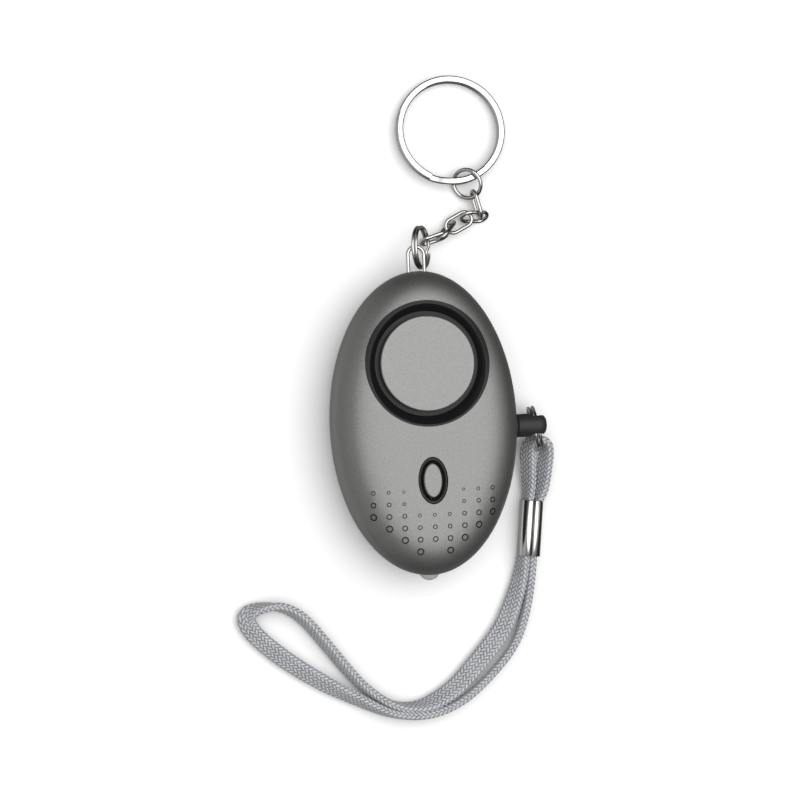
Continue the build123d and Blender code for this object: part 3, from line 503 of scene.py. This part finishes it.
def sky_strength(tree):
    """The sum of the sky's lights for each way out."""
    way = tree.nodes.new("ShaderNodeTexCoord").outputs["Generated"]
    total = None
    for aim, start, full, strength in SKY:
        dot = tree.nodes.new("ShaderNodeVectorMath")
        dot.operation = "DOT_PRODUCT"
        dot.inputs[1].default_value = Vector(aim).normalized()
        step = tree.nodes.new("ShaderNodeMapRange")
        step.interpolation_type = "SMOOTHSTEP"
        set_values(step, From_Min=start, From_Max=full, To_Max=strength)
        tree.links.new(way, dot.inputs[0])
        tree.links.new(dot.outputs["Value"], step.inputs["Value"])
        if total:
            join = tree.nodes.new("ShaderNodeMath")
            join.operation = "ADD"
            tree.links.new(total, join.inputs[0])
            tree.links.new(step.outputs["Result"], join.inputs[1])
            total = join.outputs["Value"]
        else:
            total = step.outputs["Result"]
    return total


def add_world():
    """A studio faint all round, bright overhead, to the upper right and at the left horizon, dim below.

    The camera sees an even pale backdrop in its place.
    """
    world = bpy.data.worlds.new("studio")
    bpy.context.scene.world = world
    world.use_nodes = True
    tree = world.node_tree
    tree.nodes.clear()
    studio = tree.nodes.new("ShaderNodeBackground")
    tree.links.new(sky_strength(tree), studio.inputs["Strength"])
    backdrop = tree.nodes.new("ShaderNodeBackground")
    set_values(backdrop, Strength=BACKDROP_STRENGTH)
    path = tree.nodes.new("ShaderNodeLightPath")
    mix = tree.nodes.new("ShaderNodeMixShader")
    output = tree.nodes.new("ShaderNodeOutputWorld")
    tree.links.new(path.outputs["Is Camera Ray"], mix.inputs["Fac"])
    tree.links.new(studio.outputs["Background"], mix.inputs[1])
    tree.links.new(backdrop.outputs["Background"], mix.inputs[2])
    tree.links.new(mix.outputs["Shader"], output.inputs["Surface"])


add_camera()

# Pieces that stand for the solids of the strap
crimp = crimp_sleeve()
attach(crimp, "wrist_strap")
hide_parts("strap_crimp")
neck, neck_line = braided_strap("braid_neck", neck_route(), NECK_LEANS, CRIMP_ACROSS.cross(NECK_UP))
loop, loop_line = braided_strap("braid_loop", loop_route(), LOOP_LEANS, (0, 0, 1))
for piece, line, node, exit_place in (
    (neck, neck_line, "strap_neck", CRIMP_TOP),
    (loop, loop_line, "strap_loop", CRIMP_TOP + CRIMP_DOWN * CRIMP_LENGTH),
):
    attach(piece, "wrist_strap")
    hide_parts(node)

# Finishes: each material and the solids that have it
shell = surface("shell_grey", (0.165, 0.165, 0.16), 0.4, (5000, 0.01, 0.25), metal=0.7, tones=(0.1, 2500))
# Painted shade: the casing's colour is darkened in its grooves and gaps
paint_groove_shade(shell)
plated = surface("steel_plated", (0.46, 0.45, 0.435), 0.15, (900, 0.02, 0.15), metal=1.0, tones=(0.05, 500))
chain_links = [f"chain_link_{number}" for number in range(1, 6)]
finishes = (
    (shell, ("front_shell", "rear_shell")),
    (plated, ("bail", "body_ring", "jump_ring", "key_ring", "pin_ring", *chain_links)),
    (surface("bezel_black", (0.008, 0.008, 0.009), 0.3, (3000, 0.01, 0.15), specular=0.18),
     ("speaker_bezel", "button_surround")),
    (surface("disc_grey", (0.18, 0.18, 0.175), 0.42, (4000, 0.01, 0.3), metal=0.7, tones=(0.08, 2500)),
     ("sound_disc",)),
    (surface("button_grey", (0.165, 0.165, 0.16), 0.4, (4000, 0.01, 0.25), metal=0.7, tones=(0.08, 2500)),
     ("torch_button",)),
    (surface("pin_plastic", (0.024, 0.023, 0.025), 0.5, (3500, 0.02, 0.4), specular=0.25, tones=(0.1, 600)),
     ("pin_head", "pin_socket")),
    (surface("steel_plain", (0.55, 0.55, 0.54), 0.3, (1500, 0.02, 0.3), metal=1.0),
     ("case_screws", "pin_shaft", "led_leads", "battery_cells", "battery_contacts")),
    (surface("brass_sheet", (0.75, 0.55, 0.25), 0.3, (1500, 0.02, 0.3), metal=1.0),
     ("diaphragm", "pin_contacts")),
    (surface("ceramic_white", (0.8, 0.8, 0.77), 0.5, (2500, 0.02, 0.3)), ("piezo_ceramic",)),
    (surface("seal_rubber", (0.02, 0.02, 0.02), 0.7, (2500, 0.03, 0.4)), ("diaphragm_seal",)),
    (surface("board_green", (0.02, 0.12, 0.05), 0.35, (1200, 0.02, 0.3), coat=0.3), ("circuit_board",)),
    (surface("chip_black", (0.02, 0.02, 0.022), 0.5, (3000, 0.02, 0.4)),
     ("driver_chip", "board_components", "tact_switch", "switch_plunger")),
    (surface("coil_wire", (0.5, 0.2, 0.07), 0.35, (700, 0.08, 0.8), detail=1.0, stretch=(1, 1, 30),
             metal=0.8),
     ("boost_coil",)),
    (clear_material(), ("torch_led",)),
)
for material, names in finishes:
    for name in names:
        nodes[name].data.materials.clear()
        nodes[name].data.materials.append(material)
braid = braid_material()
for piece in (neck, loop):
    piece.data.materials.append(braid)
crimp.data.materials.append(plated)

add_floor()
add_key_light()
add_world()
bpy.context.scene.view_settings.view_transform = "Standard"
